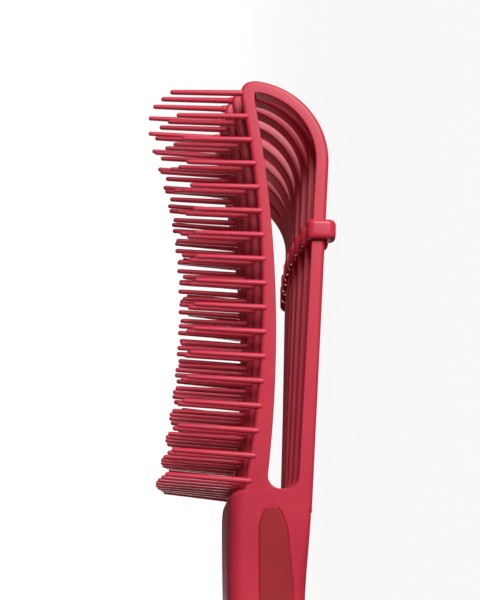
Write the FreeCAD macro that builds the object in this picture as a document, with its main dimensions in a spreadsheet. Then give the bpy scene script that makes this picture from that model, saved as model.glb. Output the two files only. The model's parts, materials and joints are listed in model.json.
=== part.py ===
import FreeCAD, Part

import math
import os

import Sketcher

# Detangling brush with eight looped spring arms, lying on its back with the pins up.
# Millimetres. +X runs from the handle towards the brush's tip, +Z is the way the pins point, and the
# XZ plane is the plane of symmetry. z = 0 is the surface that the clip and the handle's heel rest on.
# Arm 1 is the outermost on the -Y side, arm 8 the outermost on the +Y side.

ARMS = 8
HANDLE_SECTIONS = 12
PIN_SIDES = 6

SIZES = [
    ("foot_x", -16.4, "x of the row of feet where the arms leave the handle"),
    ("foot_level", 19.1, "height of the middle of the feet"),
    ("root_half_span", 18.5, "y of the outermost arms at the feet"),
    ("tip_half_span", 41.8, "y of the outermost arms at the tip"),
    ("fan_arc", 48.0, "half angle of the arc whose sines space the arms at the tip"),
    ("arm_roll", 7.4, "lean of the outermost arms, pins inwards, in degrees"),
    ("arm_reach", 134.0, "from the foot to the tip of an outermost arm"),
    ("arm_crown", 4.8, "how much further the middle of the tip line reaches"),
    ("root_width", 3.2, "width of an arm at its foot"),
    ("tip_width", 6.8, "width of an arm at its tip"),
    ("foot_front", 12.8, "front end of a foot above its middle"),
    ("foot_back", 12.9, "back end of a foot below its middle"),
    ("flare_length", 8.5, "length of the flare from a foot into the front strip"),
    ("front_root", 7.6, "front face of the strip by the foot, above the middle"),
    ("front_waist", 3.7, "front face at the strip's lowest point, above the middle"),
    ("front_tip", 12.8, "front face at the tip, above the middle"),
    ("strip_root", 6.9, "depth of the front strip by the foot"),
    ("strip_waist", 4.3, "depth of the front strip at its lowest point"),
    ("strip_tip", 4.8, "depth of the front strip at the tip"),
    ("bow_root", 2.2, "how much the middle strips stand forward by the foot"),
    ("bow_waist", 4.3, "how much the middle strips stand forward at the waist"),
    ("bow_tip", 4.9, "how much the middle strips stand forward at the tip"),
    ("loop_radius", 26.5, "outer radius of the loop at the tip"),
    ("loop_wall", 4.0, "thickness of the loop and of the back rod next to it"),
    ("rod_drop", 3.4, "how far the back rod runs outwards from the foot to the loop"),
    ("rod_bow", 2.5, "how much the middle back rods stand forward"),
    ("rod_root", 4.5, "depth of the back rod by the foot"),
    ("web_length", 7.0, "solid web between the foot's centre and the slot"),
    ("slot_round", 4.0, "corner radius of the slot's lower end"),
    ("pin_radius_root", 1.0, "radius of a pin at its root"),
    ("pin_radius_tip", 0.8, "radius of a pin below its tip"),
    ("pin_tip_length", 0.8, "length of a pin's rounded tip"),
    ("pin_tip_flat", 0.4, "radius of the end of a pin's tip"),
    ("pin_embed", 1.4, "length of a pin's root inside its arm"),
    ("pin_waist_height", 24.8, "tips of the outermost pins above the feet's middle, at the waist"),
    ("pin_tip_rise", 11.2, "how much higher the tips stand at the brush's tip"),
    ("pin_root_rise", 9.0, "how much higher the tips stand by the handle"),
    ("pin_first", 9.0, "distance from the foot to the first pin"),
    ("pin_last", 1.9, "distance from the last pin to the arm's tip"),
    ("pin_pitch", 7.85, "largest distance from pin to pin along an arm"),
    ("pin_lean_root", 4.2, "lean of the first pin towards the brush's tip, in degrees"),
    ("pin_lean_tip", 0.8, "lean of the last pin towards the brush's tip, in degrees"),
    ("outer_pin_shift", 0.45, "how far the outer arms' pins stand past the arm's side"),
    ("seat_clearance", 0.08, "running clearance round a foot"),
    ("clip_reach", 87.0, "from the feet to the clip, along an arm"),
    ("clip_length", 6.2, "length of the clip along the rods"),
    ("clip_clearance", 0.55, "clearance between a rod and its clip ring"),
    ("clip_side_wall", 1.5, "side wall of a clip ring"),
    ("clip_back_wall", 2.7, "back wall of a clip ring"),
    ("clip_lip", 1.2, "thickness of the ring's snap lips"),
    ("clip_mouth", 4.0, "opening between the snap lips"),
    ("clip_round", 2.2, "rounding of a clip ring's outer corners"),
    ("clip_bridge", 2.2, "thickness of the bridge between rings"),
    ("handle_length", 105.4, "from the feet to the end of the handle"),
    ("head_wall", 2.4, "handle beyond the outermost feet's centres, each side"),
    ("head_margin", 0.3, "handle beyond the ends of the feet, front and back"),
    ("neck_reach", 27.0, "from the feet to the neck"),
    ("neck_back", 7.4, "back face at the neck, above the resting surface"),
    ("neck_depth", 22.4, "depth of the handle at the neck"),
    ("waist_reach", 44.0, "from the feet to the handle's narrowest place"),
    ("waist_half_width", 13.9, "half width of the handle at its narrowest"),
    ("palm_reach", 70.0, "from the feet to the swell in the palm"),
    ("palm_half_width", 14.8, "half width of the handle in the palm"),
    ("palm_back", 2.6, "back face in the palm, above the resting surface"),
    ("palm_depth", 21.0, "depth of the handle in the palm"),
    ("end_half_width", 12.2, "half width and radius of the handle's round end"),
    ("end_depth", 18.4, "depth of the handle at its end"),
    ("handle_round", 5.2, "corner radius of the handle's section"),
    ("hang_radius", 3.4, "radius of the hanging hole"),
    ("hang_inset", 11.0, "distance from the end of the handle to the hanging hole"),
    ("inlay_start", 2.2, "distance from the feet to the point of the side inlays"),
    ("inlay_length", 69.0, "length of the side inlays"),
    ("inlay_height", 9.2, "height of the side inlays"),
    ("inlay_drop", 1.6, "how far behind the handle's middle the inlays start"),
    ("inlay_depth", 1.6, "depth of the inlays in the handle"),
    ("inlay_proud", 0.35, "how far the inlays stand out of the handle"),
]

doc = FreeCAD.newDocument("detangling_brush")
sheet = doc.addObject("Spreadsheet::Sheet", "sizes")
for row, (alias, value, meaning) in enumerate(SIZES, start=1):
    sheet.set(f"A{row}", meaning)
    sheet.set(f"B{row}", str(value))
    sheet.setAlias(f"B{row}", alias)
doc.recompute()

size = {alias: float(sheet.get(alias)) for alias, _, _ in SIZES}
V = FreeCAD.Vector


def bind(thing, prop, expression):
    """Ties a property to the sheet. The expression names the cells by their aliases."""
    for alias in sorted(size, key=len, reverse=True):
        expression = expression.replace(f"[{alias}]", f"<<sizes>>.{alias}")
    thing.setExpression(prop, expression)


def origin_plane(body, role):
    """The body's own XY, XZ or YZ plane."""
    return next(f for f in body.Origin.OriginFeatures if f.Role == role)


def new_body(name):
    body = doc.addObject("PartDesign::Body", name)
    body.Label = name
    return body


def new_sketch(body, name, role, offset=0.0):
    """A sketch on one of the body's origin planes, moved along the plane's normal."""
    sketch = body.newObject("Sketcher::SketchObject", name)
    sketch.AttachmentSupport = [(origin_plane(body, role), "")]
    sketch.MapMode = "FlatFace"
    sketch.AttachmentOffset = FreeCAD.Placement(V(0, 0, offset), FreeCAD.Rotation())
    return sketch


def arc_through(first, middle, last):
    return Part.Arc(V(*first, 0), V(*middle, 0), V(*last, 0))


def line(first, last):
    return Part.LineSegment(V(*first, 0), V(*last, 0))


def side(arm):
    """-1 for arm 1 to +1 for arm 8, in equal steps."""
    return (2 * arm - ARMS - 1) / (ARMS - 1)


def tip_side(arm):
    """-1 to +1 again, with the arms at equal angles on an arc: closer together outwards."""
    half = math.radians(size["fan_arc"])
    return math.sin(side(arm) * half) / math.sin(half)


def middle_share(arm):
    """0 for the outermost arms, nearly 1 for the two in the middle."""
    return 1 - tip_side(arm) ** 2


def arm_yaw(arm):
    """Fan angle of an arm about its foot, in degrees."""
    spread = tip_side(arm) * size["tip_half_span"] - side(arm) * size["root_half_span"]
    return math.degrees(math.atan2(spread, size["arm_reach"]))


def arm_placement(arm):
    """From an arm's own frame (x along it from the foot, z forward) to the brush's frame."""
    foot = V(size["foot_x"], side(arm) * size["root_half_span"], size["foot_level"])
    fan = FreeCAD.Rotation(V(0, 0, 1), arm_yaw(arm))
    roll = FreeCAD.Rotation(V(1, 0, 0), side(arm) * size["arm_roll"])
    return FreeCAD.Placement(foot, fan.multiply(roll))


def arm_length(arm):
    return size["arm_reach"] + size["arm_crown"] * middle_share(arm)


def half_width(arm, along):
    """Half of the arm's width at a distance from its foot."""
    share = along / arm_length(arm)
    return (size["root_width"] + (size["tip_width"] - size["root_width"]) * share) / 2


def arm_points(arm):
    """Named points of an arm's side outline, in the arm's XZ plane."""
    middle = middle_share(arm)
    length = arm_length(arm)
    waist = length * 0.47
    front = {
        "root": (size["flare_length"], size["front_root"] + size["bow_root"] * middle),
        "waist": (waist, size["front_waist"] + size["bow_waist"] * middle),
        "tip": (length - 2.2, size["front_tip"] + size["bow_tip"] * middle),
    }
    rear = {
        "root": (size["web_length"] + size["slot_round"], front["root"][1] - size["strip_root"]),
        "waist": (waist, front["waist"][1] - size["strip_waist"]),
    }
    rod_level = size["rod_bow"] * middle - size["foot_back"]
    centre = (length - size["loop_radius"], rod_level - size["rod_drop"] + size["loop_radius"])
    inner_radius = size["loop_radius"] - size["loop_wall"]
    corner_rise = front["tip"][1] - size["strip_tip"] - centre[1]
    corner_angle = math.asin(corner_rise / inner_radius)
    rear["tip"] = (centre[0] + inner_radius * math.cos(corner_angle), centre[1] + corner_rise)
    return front, rear, rod_level, centre, corner_angle


def on_circle(centre, radius, angle):
    return (centre[0] + radius * math.cos(angle), centre[1] + radius * math.sin(angle))


def rod_back_height(arm, along):
    """Height of the rod's back in the arm's frame at a distance from the foot."""
    _, _, rod_level, centre, _ = arm_points(arm)
    return rod_level - size["rod_drop"] * along / centre[0]


def rod_depth(arm, along):
    _, _, _, centre, _ = arm_points(arm)
    return size["rod_root"] + (size["loop_wall"] - size["rod_root"]) * along / centre[0]


def front_height(arm, along):
    """Height of the front strip's front face, on the arc through its three points."""
    front, _, _, _, _ = arm_points(arm)
    circle = arc_through(front["root"], front["waist"], front["tip"]).toShape().Curve
    reach = circle.Radius**2 - (along - circle.Center.x) ** 2
    return circle.Center.y - math.sqrt(reach)


def arm_outline(arm):
    """The closed side outline of a looped arm: front strip, loop, back rod and foot."""
    front, _, rod_level, centre, _ = arm_points(arm)
    foot_top = (-size["root_width"] / 2, size["foot_front"])
    foot_front = (0.0, size["foot_front"])
    foot_back = (-size["root_width"] / 2, rod_level)
    flare = (size["flare_length"] * 0.4, (size["foot_front"] + 2 * front["root"][1]) / 3)
    loop_top = on_circle(centre, size["loop_radius"], 0.0)
    loop_side = on_circle(centre, size["loop_radius"], -math.pi / 4)
    loop_back = on_circle(centre, size["loop_radius"], -math.pi / 2)
    nose = (loop_top[0] - 0.4, (loop_top[1] + front["tip"][1]) / 2)
    return [
        line(foot_top, foot_front),
        arc_through(foot_front, flare, front["root"]),
        arc_through(front["root"], front["waist"], front["tip"]),
        arc_through(front["tip"], nose, loop_top),
        arc_through(loop_top, loop_side, loop_back),
        line(loop_back, foot_back),
        line(foot_back, foot_top),
    ]


def slot_outline(arm):
    """The closed outline of the space between the front strip and the back rod."""
    _, rear, _, centre, corner_angle = arm_points(arm)
    inner_radius = size["loop_radius"] - size["loop_wall"]
    inner_side = on_circle(centre, inner_radius, (corner_angle - math.pi / 2) / 2)
    inner_back = on_circle(centre, inner_radius, -math.pi / 2)
    start = size["web_length"] + size["slot_round"]
    rod_front = (start, rod_back_height(arm, start) + rod_depth(arm, start))
    upper = (size["web_length"], rear["root"][1] - size["slot_round"])
    lower = (size["web_length"], rod_front[1] + size["slot_round"])
    bulge = size["slot_round"] * (1 - math.sqrt(0.5))
    upper_mid = (size["web_length"] + bulge, rear["root"][1] - bulge)
    lower_mid = (size["web_length"] + bulge, rod_front[1] + bulge)
    return [
        arc_through(rear["root"], rear["waist"], rear["tip"]),
        arc_through(rear["tip"], inner_side, inner_back),
        line(inner_back, rod_front),
        arc_through(rod_front, lower_mid, lower),
        line(lower, upper),
        arc_through(upper, upper_mid, rear["root"]),
    ]


def plan_outline(arm):
    """The arm seen from the front: a round foot and sides that widen towards the tip."""
    end = arm_length(arm) + size["tip_width"]
    root_half = size["root_width"] / 2
    end_half = half_width(arm, end)
    return [
        arc_through((0, root_half), (-root_half, 0), (0, -root_half)),
        line((0, -root_half), (end, -end_half)),
        line((end, -end_half), (end, end_half)),
        line((end, end_half), (0, root_half)),
    ]


def frame_outline(low, high):
    """A plain rectangle from one corner to the opposite one."""
    corners = [low, (high[0], low[1]), high, (low[0], high[1])]
    return [line(corners[i], corners[(i + 1) % 4]) for i in range(4)]


def build_arm(arm):
    """A looped arm: padded from its side outline, then trimmed to its plan outline."""
    name = f"arm_{arm}"
    body = new_body(name)
    side_sketch = new_sketch(body, f"{name}_side", "XZ_Plane")
    side_sketch.addGeometry(arm_outline(arm) + slot_outline(arm))
    doc.recompute()
    pad = body.newObject("PartDesign::Pad", f"{name}_pad")
    pad.Profile = side_sketch
    pad.SideType = "Symmetric"
    bind(pad, "Length", "2 * [tip_width]")
    doc.recompute()

    plan_sketch = new_sketch(body, f"{name}_plan", "XY_Plane")
    margin = 2 * size["tip_width"]
    reach = arm_length(arm) + margin
    plan_sketch.addGeometry(frame_outline((-margin, -margin), (reach, margin)) + plan_outline(arm))
    doc.recompute()
    trim = body.newObject("PartDesign::Pocket", f"{name}_trim")
    trim.Profile = plan_sketch
    trim.SideType = "Symmetric"
    bind(trim, "Length", "4 * [loop_radius]")
    doc.recompute()
    if trim.Shape.Volume >= pad.Shape.Volume:
        raise RuntimeError(f"{name}: the plan trim cuts nothing")

    body.Placement = arm_placement(arm)
    return body


def pin_stations(arm):
    """Distances of the pins from the foot, evenly spaced and no further apart than the pitch."""
    first = size["pin_first"]
    last = arm_length(arm) - size["pin_last"]
    steps = math.ceil((last - first) / size["pin_pitch"])
    return [first + (last - first) * step / steps for step in range(steps + 1)]


def pin_tip_height(arm, along):
    """Height of a pin's tip in the arm's frame: lowest at the waist, higher towards both ends."""
    first = size["pin_first"]
    last = arm_length(arm) - size["pin_last"]
    waist = (first + last) / 2
    share = (along - waist) / (last - waist)
    rise = size["pin_tip_rise"] if share > 0 else size["pin_root_rise"]
    bow = size["bow_waist"] + (size["bow_tip"] - size["bow_root"]) / 2 * share
    return size["pin_waist_height"] + rise * share**2 + bow * middle_share(arm)


def pin_ring(radius, height):
    """Corners of a pin's section, with the given corner radius, at a height."""
    step = math.tau / PIN_SIDES
    return [V(radius * math.cos(step * number), radius * math.sin(step * number), height)
            for number in range(PIN_SIDES)]


def stacked_rings(rings):
    """A solid with flat sides between rings of corners, closed at both ends."""
    outlines = [rings[0], rings[-1]]
    for low, high in zip(rings, rings[1:]):
        for first in range(len(low)):
            second = first - 1
            outlines.append([low[first], low[second], high[second], high[first]])
    faces = [Part.Face(Part.makePolygon(outline + outline[:1])) for outline in outlines]
    return Part.makeSolid(Part.makeShell(faces))


def build_pins(arm):
    """The row of tapered pins on one arm, each a separate solid rooted in the front strip."""
    name = f"pins_{arm}"
    stations = pin_stations(arm)
    pins = []
    for along in stations:
        share = (along - stations[0]) / (stations[-1] - stations[0])
        lean = size["pin_lean_root"] + (size["pin_lean_tip"] - size["pin_lean_root"]) * share
        sideways = 0.0
        if arm in (1, ARMS):
            outward = half_width(arm, along) - size["pin_radius_root"] + size["outer_pin_shift"]
            sideways = math.copysign(outward, side(arm))
        base = front_height(arm, along) - size["pin_embed"]
        length = (pin_tip_height(arm, along) - base) / math.cos(math.radians(lean))
        shoulder = length - size["pin_tip_length"]
        rings = [
            pin_ring(size["pin_radius_root"], 0),
            pin_ring(size["pin_radius_tip"], shoulder),
            pin_ring(size["pin_tip_flat"], length),
        ]
        pin = stacked_rings(rings)
        pin.Placement = FreeCAD.Placement(
            V(along, sideways, base), FreeCAD.Rotation(V(0, 1, 0), lean))
        pins.append(pin)
    row = doc.addObject("Part::Feature", name)
    row.Label = name
    row.Shape = Part.makeCompound(pins)
    row.Placement = arm_placement(arm)
    return row


def smooth_value(points, place):
    """Value at a place on a smooth curve through (place, value) points that ends level."""
    steps = [(second[1] - first[1]) / (second[0] - first[0]) for first, second in zip(points, points[1:])]
    slopes = [1.5 * steps[0]]
    for before, after in zip(steps, steps[1:]):
        turns_back = before * after <= 0
        slopes.append(0.0 if turns_back else 2 * before * after / (before + after))
    slopes.append(0.0)
    index = max(number for number, point in enumerate(points[:-1]) if number == 0 or point[0] <= place)
    start, end = points[index], points[index + 1]
    span = end[0] - start[0]
    share = (place - start[0]) / span
    rise = end[1] - start[1]
    entry = slopes[index] * span
    leave = slopes[index + 1] * span
    curve = (3 * rise - 2 * entry - leave) + (entry + leave - 2 * rise) * share
    return start[1] + share * (entry + share * curve)


def end_reach():
    """From the feet to the centre of the handle's round end."""
    return size["handle_length"] - size["end_half_width"]


def handle_section(reach, grow):
    """Corners of the handle's section, anticlockwise. Its sides lean with the arms at the feet."""
    width = smooth_value([
        (0, size["root_half_span"] + size["head_wall"]),
        (size["waist_reach"], size["waist_half_width"]),
        (size["palm_reach"], size["palm_half_width"]),
        (end_reach(), size["end_half_width"])], reach)
    back = smooth_value([
        (0, size["foot_level"] - size["foot_back"] - size["head_margin"]),
        (size["neck_reach"], size["neck_back"]),
        (size["palm_reach"], size["palm_back"]),
        (end_reach(), 0)], reach)
    front = smooth_value([
        (0, size["foot_level"] + size["foot_front"] + size["head_margin"]),
        (size["neck_reach"], size["neck_back"] + size["neck_depth"]),
        (size["palm_reach"], size["palm_back"] + size["palm_depth"]),
        (end_reach(), size["end_depth"])], reach)
    lean = smooth_value([(0, size["arm_roll"]), (size["waist_reach"], 0), (end_reach(), 0)], reach)
    spread = math.tan(math.radians(lean)) * (front - back) / 2
    wide = width + spread + grow
    narrow = width - spread + grow
    return [(-wide, back - grow), (wide, back - grow), (narrow, front + grow), (-narrow, front + grow)]


def section_reaches():
    """Places of the sections: at the feet, just behind their seats, then evenly to the round end."""
    behind_seats = size["root_width"]
    spacing = (end_reach() - behind_seats) / (HANDLE_SECTIONS - 2)
    return [0] + [behind_seats + spacing * number for number in range(HANDLE_SECTIONS - 1)]


def corner_arcs(corners, radius):
    """Start, middle and end of the tangent arc at each corner of an anticlockwise outline."""
    arcs = []
    for number, (x, y) in enumerate(corners):
        before = corners[number - 1]
        after = corners[(number + 1) % len(corners)]
        arrive = math.atan2(y - before[1], x - before[0])
        turn = (math.atan2(after[1] - y, after[0] - x) - arrive) % math.tau
        inset = radius * math.tan(turn / 2)
        centre = (x - inset * math.cos(arrive) - radius * math.sin(arrive),
                  y - inset * math.sin(arrive) + radius * math.cos(arrive))
        arcs.append([on_circle(centre, radius, arrive + step * turn / 2 - math.pi / 2) for step in range(3)])
    return arcs


def rounded_outline(corners, radius):
    """A closed outline of lines with a tangent arc at each corner."""
    arcs = corner_arcs(corners, radius)
    outline = []
    for number, arc in enumerate(arcs):
        outline.append(arc_through(*arc))
        outline.append(line(arc[2], arcs[(number + 1) % len(arcs)][0]))
    return outline


def build_handle_form(name, grow):
    """The handle's outer form, grown outwards by a margin: sections from the feet back, and a round end."""
    body = new_body(name)
    radius = size["handle_round"] + grow
    sections = []
    for number, reach in enumerate(section_reaches(), start=1):
        sketch = new_sketch(body, f"{name}_section_{number}", "YZ_Plane", size["foot_x"] - reach)
        sketch.addGeometry(rounded_outline(handle_section(reach, grow), radius))
        sections.append(sketch)
    doc.recompute()
    loft = body.newObject("PartDesign::AdditiveLoft", f"{name}_loft")
    loft.Profile = sections[0]
    loft.Sections = sections[1:]
    loft.Ruled = True
    doc.recompute()

    corners = handle_section(end_reach(), grow)
    lower, upper = corner_arcs(corners, radius)[1:3]
    back = (0, corners[1][1])
    front = (0, corners[2][1])
    half = new_sketch(body, f"{name}_end_section", "YZ_Plane", size["foot_x"] - end_reach())
    half.addGeometry([
        line(back, lower[0]),
        arc_through(*lower),
        line(lower[2], upper[0]),
        arc_through(*upper),
        line(upper[2], front),
        line(front, back),
    ])
    doc.recompute()
    end = body.newObject("PartDesign::Revolution", f"{name}_end")
    end.Profile = half
    end.ReferenceAxis = (half, ["V_Axis"])
    end.Angle = 180
    doc.recompute()
    if end.Shape.Volume <= loft.Shape.Volume:
        raise RuntimeError(f"{name}: the round end adds nothing")
    return body


def inlay_middle(reach):
    """Height of the inlays' centre line: behind the handle's middle at the neck, on it at the palm."""
    corners = handle_section(reach, 0)
    share = (reach - size["inlay_start"]) / size["inlay_length"]
    return (corners[0][1] + corners[2][1]) / 2 - size["inlay_drop"] * (1 - share)


def inlay_prism(name, side_sign):
    """The inlays' outline, seen from the side, run out sideways from near the middle plane."""
    body = new_body(name)
    sketch = new_sketch(body, f"{name}_outline", "XZ_Plane")
    half = size["inlay_height"] / 2
    start = size["inlay_start"]
    end = start + size["inlay_length"]
    shoulder = start + 2.6 * half
    heel = end - 1.6 * half
    waist = (shoulder + heel) / 2

    def place(reach, above):
        return (size["foot_x"] - reach, inlay_middle(reach) + above)

    point = place(start, 0)
    upper = place(shoulder, half)
    lower = place(shoulder, -half)
    upper_heel = place(heel, half)
    lower_heel = place(heel, -half)
    sketch.addGeometry([
        arc_through(point, place(start + 0.9 * half, 0.72 * half), upper),
        arc_through(upper, place(waist, half), upper_heel),
        arc_through(upper_heel, place(end, 0), lower_heel),
        arc_through(lower_heel, place(waist, -half), lower),
        arc_through(lower, place(start + 0.8 * half, -0.66 * half), point),
    ])
    doc.recompute()
    pad = body.newObject("PartDesign::Pad", f"{name}_pad")
    pad.Profile = sketch
    bind(pad, "Length", "4 * [root_half_span]")
    # The XZ plane's normal is -Y, so the +Y side is padded against it.
    pad.Reversed = side_sign > 0
    doc.recompute()
    return body


def boolean(kind, name, base, tool):
    result = doc.addObject(f"Part::{kind}", name)
    result.Label = name
    result.Base = base
    result.Tool = tool
    doc.recompute()
    return result


def fuse(name, shapes):
    result = doc.addObject("Part::MultiFuse", name)
    result.Label = name
    result.Shapes = shapes
    doc.recompute()
    return result


def build_foot_seat(arm):
    """A round groove in the handle's head for one arm's foot, with running clearance."""
    seat = doc.addObject("Part::Cylinder", f"foot_seat_{arm}")
    bind(seat, "Radius", "[root_width] / 2 + [seat_clearance]")
    bind(seat, "Height", "4 * [foot_back]")
    lift = FreeCAD.Placement(V(0, 0, -2 * size["foot_back"]), FreeCAD.Rotation())
    seat.Placement = arm_placement(arm).multiply(lift)
    return seat


def build_hang_hole():
    hole = doc.addObject("Part::Cylinder", "hang_hole")
    bind(hole, "Radius", "[hang_radius]")
    bind(hole, "Height", "4 * [end_depth]")
    place = size["foot_x"] - size["handle_length"] + size["hang_inset"]
    hole.Placement = FreeCAD.Placement(V(place, 0, -size["end_depth"]), FreeCAD.Rotation())
    return hole


def build_handle_and_grips():
    """The moulded handle with its seats, pockets and hanging hole, and the two soft inlays."""
    form = build_handle_form("handle_form", 0.0)
    core = build_handle_form("inlay_floor", -size["inlay_depth"])
    skin = build_handle_form("inlay_face", size["inlay_proud"])
    prisms = {"grip_left": inlay_prism("inlay_left", 1), "grip_right": inlay_prism("inlay_right", -1)}
    grips = []
    pockets = []
    for name, prism in prisms.items():
        outer = boolean("Common", f"{name}_outer", skin, prism)
        grips.append(boolean("Cut", name, outer, core))
        pockets.append(boolean("Cut", f"{name}_pocket", prism, core))
    seats = [build_foot_seat(arm) for arm in range(1, ARMS + 1)]
    cuts = fuse("handle_cuts", seats + pockets + [build_hang_hole()])
    handle = boolean("Cut", "handle", form, cuts)
    return [handle] + grips


def ring_sizes(arm):
    """Width and depth of the hole in a clip ring, and its centre's height in the arm's frame."""
    along = size["clip_reach"]
    wide = 2 * (half_width(arm, along) + size["clip_clearance"])
    depth = rod_depth(arm, along) + 2 * size["clip_clearance"]
    height = rod_back_height(arm, along) + rod_depth(arm, along) / 2
    return wide, depth, height


def place_box(name, arm, length, width, low, high, sideways=0.0):
    """A box at the clip's place on an arm, centred along and across it, from low to high."""
    box = doc.addObject("Part::Box", name)
    box.Length = length
    box.Width = width
    box.Height = high - low
    corner = V(size["clip_reach"] - length / 2, sideways - width / 2, low)
    box.Placement = arm_placement(arm).multiply(FreeCAD.Placement(corner, FreeCAD.Rotation()))
    return box


def build_ring_block(arm):
    """A clip ring's outer form: a block with its four long edges rounded."""
    wide, depth, height = ring_sizes(arm)
    low = height - depth / 2 - size["clip_back_wall"]
    high = height + depth / 2 + size["clip_lip"]
    outer_wide = wide + 2 * size["clip_side_wall"]
    block = place_box(f"ring_block_{arm}", arm, size["clip_length"], outer_wide, low, high)
    doc.recompute()
    along_x = [number for number, edge in enumerate(block.Shape.Edges, start=1)
               if abs(edge.Length - size["clip_length"]) < 1e-6]
    rounded = doc.addObject("Part::Fillet", f"ring_{arm}")
    rounded.Base = block
    rounded.Edges = [(number, size["clip_round"], size["clip_round"]) for number in along_x]
    return rounded


def build_ring_cuts(arm):
    """The hole that a rod runs through, and the snap mouth in front of it."""
    wide, depth, height = ring_sizes(arm)
    long = 2 * size["clip_length"]
    hole = place_box(f"ring_hole_{arm}", arm, long, wide, height - depth / 2, height + depth / 2)
    mouth_top = height + depth / 2 + 2 * size["clip_lip"]
    mouth = place_box(f"ring_mouth_{arm}", arm, long, size["clip_mouth"], height, mouth_top)
    return [hole, mouth]


def ring_back(arm):
    """The middle of a ring's back wall in the brush's frame."""
    _, depth, height = ring_sizes(arm)
    wall_middle = height - depth / 2 - size["clip_back_wall"] / 2
    return arm_placement(arm).multVec(V(size["clip_reach"], 0, wall_middle))


def build_bridge(arm):
    """The flat bridge from one ring's back to the next one's."""
    start = ring_back(arm)
    end = ring_back(arm + 1)
    across = end.sub(start)
    bridge = doc.addObject("Part::Box", f"ring_bridge_{arm}")
    bind(bridge, "Length", "0.6 * [clip_length]")
    bind(bridge, "Height", "[clip_bridge]")
    bridge.Width = across.Length
    turn = FreeCAD.Rotation(V(0, 1, 0), across)
    inset = V(-0.3 * size["clip_length"], 0, -size["clip_bridge"] / 2)
    bridge.Placement = FreeCAD.Placement(start, turn).multiply(FreeCAD.Placement(inset, FreeCAD.Rotation()))
    return bridge


def build_clip():
    """The sliding clip: a ring with snap lips on every rod, joined by bridges along the back."""
    arms = range(1, ARMS + 1)
    rings = [build_ring_block(arm) for arm in arms]
    bridges = [build_bridge(arm) for arm in range(1, ARMS)]
    doc.recompute()
    blank = fuse("clip_blank", rings + bridges)
    cuts = fuse("clip_cuts", [cut for arm in arms for cut in build_ring_cuts(arm)])
    return boolean("Cut", "clip", blank, cuts)


parts = build_handle_and_grips()
parts.append(build_clip())
for number in range(1, ARMS + 1):
    parts.append(build_arm(number))
    parts.append(build_pins(number))
doc.recompute()

for thing in doc.Objects:
    if "Invalid" in thing.State or "Error" in thing.State:
        raise RuntimeError(f"{thing.Name} failed: {thing.State}")
for part in parts:
    if part.Shape.isNull() or not part.Shape.isValid():
        raise RuntimeError(f"{part.Label} has no valid shape")

os.makedirs("parts", exist_ok=True)
for part in parts:
    part.Shape.exportStep(f"parts/{part.Label}.step")
    box = part.Shape.BoundBox
    print(f"{part.Label:12s} solids {len(part.Shape.Solids):3d}  volume {part.Shape.Volume:9.1f}  "
          f"x {box.XMin:7.2f} {box.XMax:7.2f}  y {box.YMin:7.2f} {box.YMax:7.2f}  "
          f"z {box.ZMin:6.2f} {box.ZMax:6.2f}")
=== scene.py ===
import json
import math

import bmesh
import bpy
from mathutils import Matrix, Vector


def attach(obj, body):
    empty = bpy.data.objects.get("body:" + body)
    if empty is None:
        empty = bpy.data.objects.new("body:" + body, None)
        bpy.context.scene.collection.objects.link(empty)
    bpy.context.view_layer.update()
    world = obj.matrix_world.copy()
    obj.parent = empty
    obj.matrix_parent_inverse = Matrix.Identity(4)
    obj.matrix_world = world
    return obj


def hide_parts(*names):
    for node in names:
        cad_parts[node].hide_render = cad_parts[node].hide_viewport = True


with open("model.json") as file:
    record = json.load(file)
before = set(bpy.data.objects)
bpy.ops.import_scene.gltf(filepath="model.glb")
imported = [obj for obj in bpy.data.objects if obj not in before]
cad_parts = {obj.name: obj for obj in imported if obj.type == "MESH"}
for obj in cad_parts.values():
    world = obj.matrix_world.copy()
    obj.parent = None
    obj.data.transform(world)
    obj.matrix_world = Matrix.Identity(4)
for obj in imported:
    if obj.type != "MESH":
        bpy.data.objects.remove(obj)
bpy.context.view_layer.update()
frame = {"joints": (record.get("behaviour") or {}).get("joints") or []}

# Sizes are in millimetres and angles in radians. new_piece scales each finished mesh to metres.
MM = 0.001
ARMS = 8

# Looped arms, each in its own frame: along it from the foot, across it, and forward towards the pin tips.
FOOT_X, FOOT_LEVEL, ROOT_HALF_SPAN = -16.4, 19.1, 18.5
FAN_ARC = math.radians(48)
ARM_REACH, ARM_CROWN = 135.2, 3.6
ROOT_WIDTH, TIP_WIDTH = 3.2, 6.8
ROOT_FRONT, FOOT_BACK = 9.3, 12.9
# The front edge falls from the foot to the strip along the flare, and half way along by this share.
FLARE_LENGTH, ROOT_DIP = 8.5, 0.55
NOSE_LENGTH, NOSE_ANGLE, TIP_INSET = 6.0, math.radians(-7), 2.2
# The front strip's height, its depth and the middle arms' extra height at its root, waist and tip.
FRONT_HEIGHTS = (7.6, 3.7, 12.8)
STRIP_DEPTHS = (6.9, 4.3, 4.8)
BOWS = (2.2, 4.3, 4.9)
WAIST_SHARE = 0.47
LOOP_RADIUS, LOOP_WALL = 26.5, 4.0
ROD_DROP, ROD_BOW, ROD_ROOT, ROD_RUN = 3.4, 2.5, 4.5, 107.5
WEB_LENGTH, SLOT_ROUND = 7.0, 4.0
SLOT_START = WEB_LENGTH + SLOT_ROUND
# The part of the loop's inner circle that faces the nose.
CORNER_ARC = math.radians(7)
# Edge radii of the outer line and of the inner one.
STRIP_EDGE, NOSE_EDGE, WEB_EDGE = 1.35, 1.3, 1.5
SLOT_EDGE, LOOP_INNER_EDGE, ROD_INNER_EDGE = 0.35, 0.5, 0.4
# Stations along both lines, in the order in which the lines go round.
FLARE_STEPS, STRIP_STEPS, TIP_STEPS, LOOP_STEPS = 10, 64, 10, 36
ROD_STEPS, WEB_STEPS, FOOT_STEPS = 44, 8, 8
DOWN = -math.pi / 2

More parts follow.
